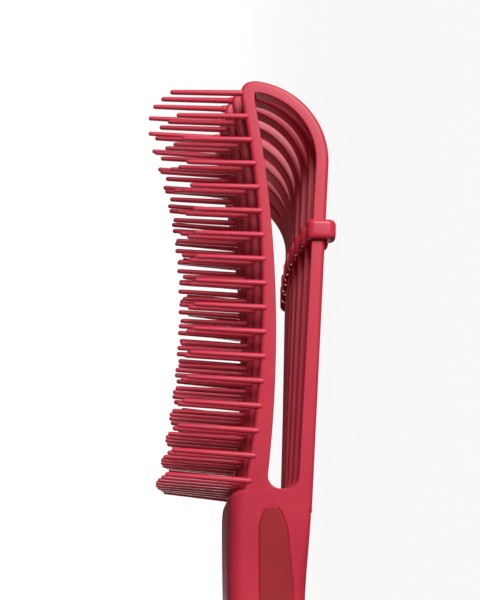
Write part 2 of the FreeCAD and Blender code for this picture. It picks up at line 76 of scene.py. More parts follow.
# Pins. Lean and outer run (how far an outer pin's root goes down the arm's side) go from first pin to last.
PIN_ROOT_RADIUS, PIN_TIP_RADIUS, PIN_FOOT_FLARE = 1.0, 0.8, 0.28
PIN_FIRST, PIN_LAST, PIN_PITCH, PIN_EMBED = 9.0, 1.9, 7.85, 1.4
PIN_LAST_INSET, PIN_INSET_FADE = 2.5, 0.8
PIN_HEIGHT, PIN_TIP_RISE, PIN_ROOT_RISE = 24.8, 9.7, 7.3
PIN_TIP_BOW, PIN_ROOT_BOW = 2.85, 1.7
PIN_LEAN = (math.radians(3.0), math.radians(0.3))
OUTER_PIN_SHIFT, OUTER_PIN_RUN = 0.45, (2.4, 1.6)
PIN_FLARE_LENGTH = 0.7
PIN_FACES = 16

# Clip. Each ring is a C with a mouth between two lips, and its ends are rounded like a barrel.
CLIP_REACH, CLIP_LENGTH, CLIP_CLEARANCE = 87.0, 6.2, 0.55
CLIP_SIDE, CLIP_BACK, CLIP_LIP, CLIP_MOUTH, CLIP_ROUND, CLIP_BRIDGE = 1.5, 2.7, 1.2, 4.0, 2.6, 2.2
CLIP_BARREL, CLIP_HOLE_EDGE, CLIP_HOLE_ROUND = 1.6, 0.3, 0.35
BRIDGE_HALF_LENGTH, BRIDGE_EDGE = 0.3 * CLIP_LENGTH, 0.6

# Handle. Reach is the distance behind the row of feet, and lines are (reach, size) points.
HEAD_REACH, END_REACH = -6.2, 93.2
WAIST = (44.0, 13.9)
PALM = (70.0, 14.8)
END_HALF_WIDTH = 12.2
BACK_LINE = ((27.0, 7.4), (70.0, 2.6), (END_REACH, 0.0))
FRONT_LINE = ((HEAD_REACH, 29.6), (-4.6, 31.2), (0.0, 31.6), (27.0, 31.0), (70.0, 24.2), (END_REACH, 18.4))
FRONT_ENTRY_SLOPE = 2.0
HOLE_REACH, HOLE_RADIUS, HOLE_RIM = 94.4, 3.4, 0.9
# The handle's head stands this far outside the arms' feet.
SKIN_PROUD = 0.03
# The handle's back rises this much from its middle to its sides, fading out over this length.
BACK_TILT, BACK_TILT_LENGTH = 0.33, 25.0
# The head's tight edges grow into the grip's soft ones over this length.
SOFTENING_LENGTH = 30.0
BACK_ROUND, GRIP_BACK_ROUND = WEB_EDGE, 4.4
FRONT_ROUND_WIDTH, GRIP_FRONT_ROUND_WIDTH, FRONT_ROUND_DEPTH = 7.5, 5.5, 5.2
SIDE_CROWN = 0.5

# Side inlays.
INLAY_START, INLAY_END = -1.5, 71.0
INLAY_LEVEL, INLAY_FALL = 18.5, 0.078
INLAY_NOSE, INLAY_HEEL = 9.0, 8.0
INLAY_HALF_NOSE, INLAY_HALF_PALM, INLAY_SWELL_LENGTH = 4.2, 5.2, 30.0
GROOVE_WIDTH, GROOVE_DEPTH = 0.3, 0.4
INLAY_PROUD, INLAY_EDGE, INLAY_SUNK = 0.12, 0.5, 0.95

JOINTS = {joint["name"]: joint for joint in frame["joints"]}


# ---------------------------------------------------------------- curves and meshes

def smooth_step(value):
    value = min(max(value, 0.0), 1.0)
    return value * value * (3 - 2 * value)


def blend(pair, share):
    return pair[0] + (pair[1] - pair[0]) * share


def on_circle(centre, radius, angle):
    return (centre[0] + radius * math.cos(angle), centre[1] + radius * math.sin(angle))


def circle_through(first, middle, last):
    """Centre and radius of the circle through three points."""
    (ax, ay), (bx, by), (cx, cy) = first, middle, last
    twice = 2 * (ax * (by - cy) + bx * (cy - ay) + cx * (ay - by))
    a, b, c = ax * ax + ay * ay, bx * bx + by * by, cx * cx + cy * cy
    x = (a * (by - cy) + b * (cy - ay) + c * (ay - by)) / twice
    y = (a * (cx - bx) + b * (ax - cx) + c * (bx - ax)) / twice
    return (x, y), math.hypot(ax - x, ay - y)


def circle_run(centre, radius, first, last, steps):
    """Points on a circle from one angle to another, without the last one."""
    return [on_circle(centre, radius, first + (last - first) * step / steps) for step in range(steps)]


def arc(first, middle, last, steps):
    """Points on the arc through three points, without the last one."""
    centre, radius = circle_through(first, middle, last)
    start, through, stop = (math.atan2(p[1] - centre[1], p[0] - centre[0]) for p in (first, middle, last))
    turn = (stop - start) % math.tau
    if (through - start) % math.tau > turn:
        turn -= math.tau
    return circle_run(centre, radius, start, start + turn, steps)


def run(first, last, steps):
    """Points on a straight line, without the last one."""
    return [tuple(a + (b - a) * step / steps for a, b in zip(first, last)) for step in range(steps)]


def bend(first, corner, last, steps):
    """Points on the curve that leaves and arrives along the lines to a corner, without the last one."""
    shares = [step / steps for step in range(steps)]
    return [tuple((1 - t) ** 2 * a + 2 * t * (1 - t) * b + t * t * c for a, b, c in zip(first, corner, last))
            for t in shares]


def softened(points, station, reach, rounds):
    """The outline with the points up to reach stations from one of them pulled towards their neighbours."""
    for _ in range(rounds):
        pulled = list(points)
        for i in range(station - reach, station + reach + 1):
            before, here, after = points[i - 1], points[i], points[i + 1]
            pulled[i] = tuple((a + 2 * b + c) / 4 for a, b, c in zip(before, here, after))
        points = pulled
    return points


def averaged(values, rounds):
    """The closed row of values with each one blended into its neighbours."""
    for _ in range(rounds):
        count = len(values)
        values = [(values[i - 1] + values[i] + values[(i + 1) % count]) / 3 for i in range(count)]
    return values


def cubic(points, place, entry_slope):
    """A smooth curve through (place, value) points that starts at the given slope and ends level."""
    steps = [(q[1] - p[1]) / (q[0] - p[0]) for p, q in zip(points, points[1:])]
    slopes = [entry_slope]
    for before, after in zip(steps, steps[1:]):
        slopes.append(0.0 if before * after <= 0 else 2 * before * after / (before + after))
    slopes.append(0.0)
    index = max(i for i, p in enumerate(points[:-1]) if i == 0 or p[0] <= place)
    (x0, y0), (x1, y1) = points[index], points[index + 1]
    span = x1 - x0
    share = (place - x0) / span
    entry, leave = slopes[index] * span, slopes[index + 1] * span
    rise = y1 - y0
    curving = 3 * rise - 2 * entry - leave + (entry + leave - 2 * rise) * share
    return y0 + share * (entry + share * curving)


def new_piece(name, mesh_data, material, body, replaced=(), weighted=False):
    """A piece from bmesh data in millimetres, smooth shaded, riding on its body."""
    bmesh.ops.remove_doubles(mesh_data, verts=mesh_data.verts, dist=1e-4)
    bmesh.ops.recalc_face_normals(mesh_data, faces=mesh_data.faces)
    bmesh.ops.scale(mesh_data, vec=(MM, MM, MM), verts=mesh_data.verts)
    mesh = bpy.data.meshes.new(name)
    mesh_data.to_mesh(mesh)
    mesh_data.free()
    mesh.shade_smooth()
    piece = bpy.data.objects.new(name, mesh)
    bpy.context.scene.collection.objects.link(piece)
    piece.data.materials.append(material)
    if weighted:
        normals = piece.modifiers.new("even_normals", "WEIGHTED_NORMAL")
        normals.mode = "FACE_AREA"
        normals.weight = 60
    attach(piece, body)
    if replaced:
        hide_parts(*replaced)
    return piece


def join_rings(data, rings, closed):
    """Quads between successive closed rings of vertices, and from the last ring to the first if closed."""
    pairs = list(zip(rings, rings[1:]))
    if closed:
        pairs.append((rings[-1], rings[0]))
    for low, high in pairs:
        for i in range(len(low)):
            data.faces.new((low[i - 1], low[i], high[i], high[i - 1]))


def join_rows(data, rows):
    """Quads between successive rows of vertices."""
    for first, second in zip(rows, rows[1:]):
        for i in range(len(first) - 1):
            data.faces.new((first[i], first[i + 1], second[i + 1], second[i]))


def cap(data, rings):
    """Closes both ends of a tube of rings."""
    data.faces.new(rings[0])
    data.faces.new(rings[-1])


def wall_section(depth, outer_round, inner_round):
    """(inwards, inset) points from a wall's outer face to its inner one, round both edges."""
    steps = 4
    angles = [math.pi / 2 * step / steps for step in range(steps + 1)]
    outer_depth = min(outer_round, depth - inner_round)
    outer = [(outer_depth * (1 - math.cos(a)), outer_round * (1 - math.sin(a))) for a in angles]
    inner = [(depth - inner_round * (1 - math.cos(a)), inner_round * (1 - math.sin(a))) for a in angles]
    return outer + inner[::-1]


def wall_loop(data, outer, inner, half, rounds, place, closed=True):
    """A wall between an outer and an inner line, with all four long edges rounded.
    half(u) is half of its thickness across, rounds gives each station's outer and inner edge radius,
    and place turns (u, v, across) into a point."""
    rings = []
    for (ox, oy), (ix, iy), (outer_round, inner_round) in zip(outer, inner, rounds):
        depth = math.hypot(ix - ox, iy - oy)
        dx, dy = (ix - ox) / depth, (iy - oy) / depth
        section = wall_section(depth, outer_round, inner_round)
        ring = []
        for sign, part in ((1, section), (-1, section[::-1])):
            for inwards, inset in part:
                u, v = ox + dx * inwards, oy + dy * inwards
                ring.append(data.verts.new(place(u, v, sign * (half(u) - inset))))
        rings.append(ring)
    join_rings(data, rings, closed)
    if not closed:
        cap(data, rings)


# ---------------------------------------------------------------- arms

def side(arm):
    """-1 for the first arm to 1 for the last."""
    return (2 * arm - ARMS - 1) / (ARMS - 1)


def middle_share(arm):
    """0 for the outermost arms, nearly 1 for the two in the middle."""
    return 1 - (math.sin(side(arm) * FAN_ARC) / math.sin(FAN_ARC)) ** 2


def arm_matrix(arm):
    """From an arm's own frame to the brush's, taken from the arm's joint."""
    joint = JOINTS[f"arm_{arm}_flex"]
    forward = Vector(joint["axis"]).normalized()
    along = Vector((forward.y, -forward.x, 0)).normalized()
    if along.x < 0:
        along.negate()
    across = forward.cross(along)
    turn = Matrix((along, across, forward)).transposed()
    return Matrix.Translation(Vector(joint["pos_m"]) / MM) @ turn.to_4x4()


def arm_length(arm):
    """From the foot to the nose."""
    return ARM_REACH + ARM_CROWN * middle_share(arm)


def half_width(arm, along):
    return (ROOT_WIDTH + (TIP_WIDTH - ROOT_WIDTH) * along / arm_length(arm)) / 2


def arm_points(arm):
    """Front and rear points of the front strip, rod level, loop centre and the angle of its inner corner."""
    middle = middle_share(arm)
    length = arm_length(arm)
    places = (FLARE_LENGTH, length * WAIST_SHARE, length - TIP_INSET)
    front = [(place, height + bow * middle) for place, height, bow in zip(places, FRONT_HEIGHTS, BOWS)]
    rear_root = (WEB_LENGTH + SLOT_ROUND, front[0][1] - STRIP_DEPTHS[0])
    rear_waist = (places[1], front[1][1] - STRIP_DEPTHS[1])
    rod_level = ROD_BOW * middle - FOOT_BACK
    centre = (length - LOOP_RADIUS, rod_level - ROD_DROP + LOOP_RADIUS)
    inner_radius = LOOP_RADIUS - LOOP_WALL
    corner = math.asin((front[2][1] - STRIP_DEPTHS[2] - centre[1]) / inner_radius)
    rear = [rear_root, rear_waist, on_circle(centre, inner_radius, corner)]
    return front, rear, rod_level, centre, corner


def rod_back_height(arm, along):
    _, _, rod_level, centre, _ = arm_points(arm)
    return rod_level - ROD_DROP * along / centre[0]


def rod_depth(arm, along):
    _, _, _, centre, _ = arm_points(arm)
    return ROD_ROOT + (LOOP_WALL - ROD_ROOT) * along / centre[0]


def root_line(arm):
    """Three points of the front edge from the foot to the front strip."""
    root = arm_points(arm)[0][0]
    foot = (0.0, ROOT_FRONT + BOWS[0] * middle_share(arm))
    return foot, (FLARE_LENGTH / 2, blend((foot[1], root[1]), ROOT_DIP)), root


def front_height(arm, along):
    centre, radius = circle_through(*arm_points(arm)[0])
    return centre[1] - math.sqrt(radius**2 - (along - centre[0]) ** 2)


def outer_line(arm):
    """The outline of a looped arm: root, front strip, nose, loop, rod, web and foot."""
    front, _, _, centre, _ = arm_points(arm)
    nose_place = arm_length(arm) - NOSE_LENGTH
    nose_start = (nose_place, front_height(arm, nose_place))
    nose_corner = (centre[0] + LOOP_RADIUS, front[2][1])
    rod_back = (SLOT_START, rod_back_height(arm, SLOT_START))
    foot_back, foot_front = (0.0, rod_back_height(arm, 0)), root_line(arm)[0]
    line = arc(*root_line(arm), FLARE_STEPS)
    line += arc(front[0], front[1], nose_start, STRIP_STEPS)
    line += bend(nose_start, nose_corner, on_circle(centre, LOOP_RADIUS, NOSE_ANGLE), TIP_STEPS)
    line += circle_run(centre, LOOP_RADIUS, NOSE_ANGLE, DOWN, LOOP_STEPS)
    line += run(on_circle(centre, LOOP_RADIUS, DOWN), rod_back, ROD_STEPS)
    line += run(rod_back, foot_back, WEB_STEPS)
    return line + run(foot_back, foot_front, FOOT_STEPS)


def inner_line(arm):
    """The outline of the arm's open slot, station for station with the outer line."""
    _, rear, _, centre, corner = arm_points(arm)
    radius = LOOP_RADIUS - LOOP_WALL
    near_corner = corner - CORNER_ARC
    rod_front = (SLOT_START, rod_back_height(arm, SLOT_START) + rod_depth(arm, SLOT_START))
    upper = (WEB_LENGTH, rear[0][1] - SLOT_ROUND)
    lower = (WEB_LENGTH, rod_front[1] + SLOT_ROUND)
    bulge = SLOT_ROUND * (1 - math.sqrt(0.5))
    line = arc(upper, (WEB_LENGTH + bulge, rear[0][1] - bulge), rear[0], FLARE_STEPS)
    line += arc(*rear, STRIP_STEPS)
    line += circle_run(centre, radius, corner, near_corner, TIP_STEPS)
    line += circle_run(centre, radius, near_corner, DOWN, LOOP_STEPS)
    line += run(on_circle(centre, radius, DOWN), rod_front, ROD_STEPS)
    line += arc(rod_front, (WEB_LENGTH + bulge, rod_front[1] + bulge), lower, WEB_STEPS)
    line += run(lower, upper, FOOT_STEPS)
    return softened(line, station=FLARE_STEPS + STRIP_STEPS, reach=4, rounds=10)


def edge_rounds():
    """Edge radii of the outer and the inner line at each station, blended into each other."""
    outer = [STRIP_EDGE] * (FLARE_STEPS + STRIP_STEPS) + [NOSE_EDGE] * TIP_STEPS
    outer += [STRIP_EDGE] * (LOOP_STEPS + ROD_STEPS) + [WEB_EDGE] * (WEB_STEPS + FOOT_STEPS)
    inner = [SLOT_EDGE] * (FLARE_STEPS + STRIP_STEPS) + [LOOP_INNER_EDGE] * (TIP_STEPS + LOOP_STEPS)
    inner += [ROD_INNER_EDGE] * ROD_STEPS + [SLOT_EDGE] * (WEB_STEPS + FOOT_STEPS)
    return list(zip(averaged(outer, 4), averaged(inner, 4)))


def build_arm(arm, material):
    """One arm as a closed loop with rounded edges."""
    data = bmesh.new()
    matrix = arm_matrix(arm)
    wall_loop(data, outer_line(arm), inner_line(arm), lambda u: half_width(arm, u), edge_rounds(),
              lambda u, v, across: matrix @ Vector((u, across, v)))
    return new_piece(f"looped_arm_{arm}", data, material, f"arm_{arm}_body",
                     [f"arm_{arm}"], weighted=True)


# ---------------------------------------------------------------- pins

def last_pin(arm):
    """Distance from the foot to the last pin, which stands a little further in on the outer arms."""
    return arm_length(arm) - PIN_LAST - PIN_LAST_INSET * (1 - PIN_INSET_FADE * middle_share(arm))


def pin_tip_height(arm, along):
    """Height of a pin's tip, lowest at the waist and higher towards both ends."""
    last = last_pin(arm)
    waist = (PIN_FIRST + last) / 2
    share = (along - waist) / (last - waist)
    rise = PIN_TIP_RISE if share > 0 else PIN_ROOT_RISE
    bow = BOWS[1] + (PIN_TIP_BOW if share > 0 else PIN_ROOT_BOW) * share
    return PIN_HEIGHT + rise * share**2 + bow * middle_share(arm)


def pin_profile(length, surface, rounded_root):
    """(height, radius) rings of a pin from its root to its domed tip."""
    profile = []
    if rounded_root:
        for step in range(1, 5):
            angle = math.pi / 2 * step / 4
            profile.append((PIN_ROOT_RADIUS * (1 - math.cos(angle)), PIN_ROOT_RADIUS * math.sin(angle)))
    else:
        profile.append((0, PIN_ROOT_RADIUS + PIN_FOOT_FLARE))
        for step in range(4):
            share = step / 3
            radius = PIN_ROOT_RADIUS + PIN_FOOT_FLARE * (1 - share) ** 2
            profile.append((surface + PIN_FLARE_LENGTH * share, radius))
    shoulder = length - PIN_TIP_RADIUS
    for step in range(5):
        angle = math.pi / 2 * step / 5
        profile.append((shoulder + PIN_TIP_RADIUS * math.sin(angle), PIN_TIP_RADIUS * math.cos(angle)))
    return profile


def add_pin(data, matrix, base, lean, profile, length, rounded_root):
    """A turned pin on its base point, leaning along the arm, with a pole at each domed end."""
    turn = Matrix.Rotation(lean, 3, "Y")
    foot = Vector(base)
    rings = []
    for height, radius in profile:
        ring = []
        for face in range(PIN_FACES):
            angle = math.tau * face / PIN_FACES
            corner = Vector((radius * math.cos(angle), radius * math.sin(angle), height))
            ring.append(data.verts.new(matrix @ (foot + turn @ corner)))
        rings.append(ring)
    join_rings(data, rings, closed=False)
    for ring, height in ((rings[0], 0.0), (rings[-1], length)):
        if ring is rings[0] and not rounded_root:
            data.faces.new(ring)
            continue
        pole = data.verts.new(matrix @ (foot + turn @ Vector((0, 0, height))))
        for i in range(PIN_FACES):
            data.faces.new((ring[i - 1], ring[i], pole))


def build_pins(arm, material):
    """The row of tapered, dome-ended pins on one arm. On the outer arms the roots run onto the side face."""
    data = bmesh.new()
    matrix = arm_matrix(arm)
    outermost = arm in (1, ARMS)
    last = last_pin(arm)
    steps = math.ceil((last - PIN_FIRST) / PIN_PITCH)
    for step in range(steps + 1):
        share = step / steps
        along = blend((PIN_FIRST, last), share)
        lean = blend(PIN_LEAN, share)
        sideways = 0.0
        buried = PIN_EMBED
        if outermost:
            sideways = math.copysign(half_width(arm, along) - PIN_ROOT_RADIUS + OUTER_PIN_SHIFT, side(arm))
            buried = blend(OUTER_PIN_RUN, share)
        base = front_height(arm, along) - buried
        start = along - (buried - PIN_EMBED) * math.tan(lean)
        length = (pin_tip_height(arm, along) - base) / math.cos(lean)
        profile = pin_profile(length, buried, outermost)
        add_pin(data, matrix, (start, sideways, base), lean, profile, length, outermost)
    return new_piece(f"pin_row_{arm}", data, material, f"arm_{arm}_body", [f"pins_{arm}"])


# ---------------------------------------------------------------- clip

def rounded_corners(upper, lower, radius):
    """Points round an upper and then a lower corner, from level to level."""
    turns = 6
    angles = [math.pi / 2 * step / turns for step in range(turns + 1)]
    points = [on_circle(upper, radius, angle) for angle in reversed(angles)]
    return points + [on_circle(lower, radius, -angle) for angle in angles]


def with_mirror(half, middle):
    """Half of a line from its open end, its middle point and its mirrored half."""
    return half + [middle] + [(-x, y) for x, y in reversed(half)]


def ring_lines(arm):
    """Outer and inner (across, forward) line of a clip ring's C-shaped section, from one lip to the other."""
    wide = half_width(arm, CLIP_REACH) + CLIP_CLEARANCE
    low = rod_back_height(arm, CLIP_REACH) - CLIP_CLEARANCE
    high = low + rod_depth(arm, CLIP_REACH) + 2 * CLIP_CLEARANCE
    bottom, top, lip = low - CLIP_BACK, high + CLIP_LIP, CLIP_MOUTH / 2
    flat = wide + CLIP_SIDE - CLIP_ROUND
    outer = [(lip, top), ((lip + flat) / 2, top)]
    outer += rounded_corners((flat, top - CLIP_ROUND), (flat, bottom + CLIP_ROUND), CLIP_ROUND)
    outer += [(flat / 2, bottom)]
    hole_flat = wide - CLIP_HOLE_ROUND
    inner = [(lip, high), ((lip + wide) / 2, high)]
    inner += rounded_corners((hole_flat, high - CLIP_HOLE_ROUND), (hole_flat, low + CLIP_HOLE_ROUND),
                             CLIP_HOLE_ROUND)
    inner += [(hole_flat / 2, low)]
    return with_mirror(outer, (0, bottom)), with_mirror(inner, (0, low))


def ring_back(arm):
    """The middle of a ring's back wall."""
    height = rod_back_height(arm, CLIP_REACH) - CLIP_CLEARANCE - CLIP_BACK / 2
    return arm_matrix(arm) @ Vector((CLIP_REACH, 0, height))


def add_bridge(data, start, end):
    """A round-edged bar between the backs of two neighbouring rings."""
    across = (end - start).normalized()
    forward = Vector((1, 0, 0))
    up = forward.cross(across).normalized()
    forward = across.cross(up)
    section = []
    for quarter, (sx, sy) in enumerate(((1, 1), (-1, 1), (-1, -1), (1, -1))):
        for step in range(4):
            angle = math.pi / 2 * (quarter + step / 3)
            section.append((sx * (BRIDGE_HALF_LENGTH - BRIDGE_EDGE) + BRIDGE_EDGE * math.cos(angle),
                            sy * (CLIP_BRIDGE / 2 - BRIDGE_EDGE) + BRIDGE_EDGE * math.sin(angle)))
    rings = [[data.verts.new(place + forward * x + up * y) for x, y in section] for place in (start, end)]
    join_rings(data, rings, closed=False)
    cap(data, rings)


def build_clip(material):
    """Eight C-shaped rings with snap lips and barrel-rounded ends, joined along their backs."""
    data = bmesh.new()
    for arm in range(1, ARMS + 1):
        matrix = arm_matrix(arm)
        outer, inner = ring_lines(arm)
        rounds = [(CLIP_BARREL, CLIP_HOLE_EDGE)] * len(outer)
        wall_loop(data, outer, inner, lambda u: CLIP_LENGTH / 2, rounds,
                  lambda u, v, across: matrix @ Vector((CLIP_REACH + across, u, v)), closed=False)
    for arm in range(1, ARMS):
        add_bridge(data, ring_back(arm), ring_back(arm + 1))
    return new_piece("sliding_clip", data, material, "clip_body", ["clip"], weighted=True)


# ---------------------------------------------------------------- handle

def outer_side_plane():
    """Half width of the outermost arm's outer face at the foot, with its slopes along x and z."""
    matrix = arm_matrix(1).to_3x3()
    along, across = matrix.col[0], matrix.col[1]
    taper = (TIP_WIDTH - ROOT_WIDTH) / 2 / arm_length(1)
    half = ROOT_HALF_SPAN + ROOT_WIDTH / 2 / across.y + SKIN_PROUD
    return half, (taper / along.x + across.x) / across.y, -across.z / across.y


def handle_size(reach):
    """Half width at the middle, lean of the sides, back and front height of the handle's section."""
    half, slope, lean_slope = outer_side_plane()
    front = cubic(FRONT_LINE, reach, FRONT_ENTRY_SLOPE)
    if reach <= 0:
        width = half - slope * reach
        back = FOOT_LEVEL + rod_back_height(1, -reach) - SKIN_PROUD
    else:
        width = cubic([(0, half), WAIST, PALM, (END_REACH, END_HALF_WIDTH)], reach, -slope)
        back = cubic([(0, FOOT_LEVEL - FOOT_BACK - SKIN_PROUD), *BACK_LINE], reach, ROD_DROP / ROD_RUN)
    lean = lean_slope * (1 - smooth_step(reach / WAIST[0]))
    return width, lean, back, front


def section_edges(reach):
    """Radius of the back edge, height where the side turns into the rounded front, and that turn's width."""
    _, _, _, front = handle_size(reach)
    soft = smooth_step(reach / SOFTENING_LENGTH)
    slope = (ROOT_FRONT - FRONT_HEIGHTS[0]) / FLARE_LENGTH
    flush = FOOT_LEVEL + ROOT_FRONT - WEB_EDGE + slope * min(reach, 0)
    back_round = blend((BACK_ROUND, GRIP_BACK_ROUND), soft)
    width = blend((FRONT_ROUND_WIDTH, GRIP_FRONT_ROUND_WIDTH), soft)
    return back_round, blend((flush, front - FRONT_ROUND_DEPTH), soft), width


def inlay_middle(reach):
    return INLAY_LEVEL - INLAY_FALL * (reach - INLAY_START)


def inlay_half(reach):
    """Half height of the inlay at a reach: an elliptic nose, a slow swell and a round heel."""
    swell = smooth_step((reach - INLAY_START) / INLAY_SWELL_LENGTH)
    full = blend((INLAY_HALF_NOSE, INLAY_HALF_PALM), swell)
    ends = 1.0
    if reach < INLAY_START + INLAY_NOSE:
        ends = 1 - ((INLAY_START + INLAY_NOSE - reach) / INLAY_NOSE) ** 2
    if reach > INLAY_END - INLAY_HEEL:
        ends = 1 - ((reach - INLAY_END + INLAY_HEEL) / INLAY_HEEL) ** 2
    return full * math.sqrt(max(ends, 0.0))


def spaced(first, last, count, cluster_first=False, cluster_last=False):
    """Values from first to last, closer together at the chosen ends."""
    values = []
    for step in range(count + 1):
        share = step / count
        if cluster_first and cluster_last:
            share = (1 - math.cos(math.pi * share)) / 2
        elif cluster_first:
            share = 1 - math.cos(math.pi / 2 * share)
        elif cluster_last:
            share = math.sin(math.pi / 2 * share)
        values.append(blend((first, last), share))
    return values


INLAY_OUTLINE = [(reach, inlay_half(reach)) for reach in spaced(INLAY_START, INLAY_END, 240, True, True)]


def inside_inlay(reach, height):
    """Distance inside the inlay's outline, negative outside it."""
    away = abs(height - inlay_middle(reach))
    distance = min(math.hypot(reach - place, away - half) for place, half in INLAY_OUTLINE)
    within = INLAY_START < reach < INLAY_END and away < inlay_half(reach)
    return distance if within else -distance


def side_surface(reach, height):
    """Distance of the handle's side wall from the middle plane at a height, slightly crowned."""
    width, lean, back, front = handle_size(reach)
    share = (height - back) / (front - back)
    crown = SIDE_CROWN * smooth_step(reach / SOFTENING_LENGTH)
    return width - lean * (height - FOOT_LEVEL) - crown * (2 * share - 1) ** 2


def groove(reach, height):
    """How far the handle's wall is sunk round and under the inlay."""
    if not INLAY_START - 1 < reach < INLAY_END + 1:
        return 0.0
    return GROOVE_DEPTH * smooth_step((inside_inlay(reach, height) + GROOVE_WIDTH) / GROOVE_WIDTH)


def side_heights(reach, low, high):
    """Heights of the side wall's points, close together along the inlay's two long edges."""
    middle, half = inlay_middle(reach), max(inlay_half(reach), 0.8)
    above = [half * 0.2, half * 0.6, half, half + 0.15, half + 0.3, half + 0.45, half + 0.9]
    heights = [blend((low, middle - above[-1]), step / 5) for step in range(5)]
    heights += [middle - value for value in reversed(above)]
    heights += [middle + value for value in above]
    return heights + [blend((middle + above[-1], high), step / 5) for step in range(1, 6)]


def half_section(reach):
    """(sideways, height) points of the handle's half section, from the back's middle to the front's."""
    _, _, back, front = handle_size(reach)
    back_round, high, round_width = section_edges(reach)
    rise = BACK_TILT * (1 - smooth_step(reach / BACK_TILT_LENGTH))
    low = back + rise + back_round
    flat_back = side_surface(reach, low) - back_round
    flat_front = side_surface(reach, high) - round_width
    turns = 8
    angles = [math.pi / 2 * step / turns for step in range(turns + 1)]
    points = [(flat_back * share, back + rise * share**2) for share in (0, 0.4, 0.8, 0.95)]
    points += [(flat_back + back_round * math.sin(a), low - back_round * math.cos(a)) for a in angles[:-1]]
    points += [(side_surface(reach, height) - groove(reach, height), height)
               for height in side_heights(reach, low, high)]
    points += [(flat_front + round_width * math.cos(a), high + (front - high) * math.sin(a))
               for a in angles[1:]]
    return points + [(flat_front * share, front) for share in (0.92, 0.75, 0.4, 0)]


def handle_reaches():
    """Places of the handle's sections, closer together round the inlay's ends."""
    nose, heel = INLAY_START - 0.6, INLAY_END + 0.6
    reaches = spaced(HEAD_REACH, nose, 4)[:-1]
    reaches += spaced(nose, INLAY_START + INLAY_NOSE, 26, cluster_first=True)[:-1]
    reaches += spaced(INLAY_START + INLAY_NOSE, INLAY_END - INLAY_HEEL, 44)[:-1]
    reaches += spaced(INLAY_END - INLAY_HEEL, heel, 24, cluster_last=True)[:-1]
    return reaches + spaced(heel, END_REACH, 16)


def hole_cutter():
    """A spool whose flared ends round the rims of the hanging hole."""
    _, _, back, front = handle_size(END_REACH)
    beyond, turns, sides = 2.0, 6, 64
    profile = [(back - beyond, HOLE_RADIUS + HOLE_RIM)]
    for step in range(turns + 1):
        angle = math.pi / 2 * step / turns
        radius = HOLE_RADIUS + HOLE_RIM * (1 - math.sin(angle))
        profile.append((back + HOLE_RIM * (1 - math.cos(angle)), radius))
    profile += [(front + back - height, radius) for height, radius in reversed(profile)]
    data = bmesh.new()
    rings = []
    for height, radius in profile:
        circle = circle_run((FOOT_X - HOLE_REACH, 0.0), radius, 0, math.tau, sides)
        rings.append([data.verts.new((x, y, height)) for x, y in circle])
    join_rings(data, rings, closed=False)
    cap(data, rings)
    bmesh.ops.recalc_face_normals(data, faces=data.faces)
    bmesh.ops.scale(data, vec=(MM, MM, MM), verts=data.verts)
    mesh = bpy.data.meshes.new("hole_cutter")
    data.to_mesh(mesh)
    data.free()
    cutter = bpy.data.objects.new("hole_cutter", mesh)
    bpy.context.scene.collection.objects.link(cutter)
    return cutter


def cut_hole(piece):
    """Cuts the hanging hole and keeps the result as the piece's own mesh."""
    cutter = hole_cutter()
    cut = piece.modifiers.new("hanging_hole", "BOOLEAN")
    cut.operation = "DIFFERENCE"
    cut.solver = "EXACT"
    cut.object = cutter
    graph = bpy.context.evaluated_depsgraph_get()
    mesh = bpy.data.meshes.new_from_object(piece.evaluated_get(graph))
    piece.modifiers.clear()
    piece.data = mesh
    piece.data.shade_smooth()
    piece.data.set_sharp_from_angle(angle=math.radians(38))
    bpy.data.objects.remove(cutter)


def build_handle(material):
    """The handle's shell: half sections swept along one side, round the end and back along the other side."""
    data = bmesh.new()
    columns = []
    reaches = handle_reaches()
    sections = {reach: half_section(reach) for reach in reaches}
    for reach in reaches:
        columns.append([(FOOT_X - reach, sideways, height) for sideways, height in sections[reach]])
    turns = 36
    for step in range(1, turns):
        angle = math.pi * step / turns
        columns.append([(FOOT_X - END_REACH - sideways * math.sin(angle), sideways * math.cos(angle), height)
                        for sideways, height in sections[END_REACH]])
    for reach in reversed(reaches):
        columns.append([(FOOT_X - reach, -sideways, height) for sideways, height in sections[reach]])
    rows = [[data.verts.new(point) for point in column] for column in columns]
    join_rows(data, rows)
    end_face = rows[0] + rows[-1][-2:0:-1]
    data.faces.new([data.verts.new(corner.co) for corner in end_face])
    piece = new_piece("handle_shell", data, material, "handle_body", ["handle"])
    cut_hole(piece)
    return piece


def inlay_lift(reach, height, on_edge):
    """How far the inlay's skin stands off the handle's side: sunk along its edge and just proud inside it."""
    edge = 0.0 if on_edge else max(inside_inlay(reach, height), 0.0)
    rise = math.sqrt(1 - (1 - min(edge / INLAY_EDGE, 1)) ** 2)
    return blend((-GROOVE_DEPTH, INLAY_PROUD), rise)


def inlay_rows(data, sign, is_skin):
    """Rows of vertices over the inlay's outline, for its outer skin or for the plain sheet under it."""
    reaches = spaced(INLAY_START, INLAY_START + INLAY_NOSE, 22, cluster_first=True)[:-1]
    reaches += spaced(INLAY_START + INLAY_NOSE, INLAY_END - INLAY_HEEL, 44)[:-1]
    reaches += spaced(INLAY_END - INLAY_HEEL, INLAY_END, 22, cluster_last=True)
    shares = [math.sin(math.pi / 2 * step / 12) for step in range(-12, 13)]
    rows = []
    for reach in reaches:
        row = []
        for share in shares:
            height = inlay_middle(reach) + share * inlay_half(reach)
            lift = inlay_lift(reach, height, abs(share) == 1) if is_skin else -INLAY_SUNK
            row.append(data.verts.new((FOOT_X - reach, sign * (side_surface(reach, height) + lift), height)))
        rows.append(row)
    return rows


def border(rows):
    """The closed line of vertices round a sheet of rows."""
    return rows[0] + [row[-1] for row in rows[1:-1]] + rows[-1][::-1] + [row[0] for row in rows[-2:0:-1]]


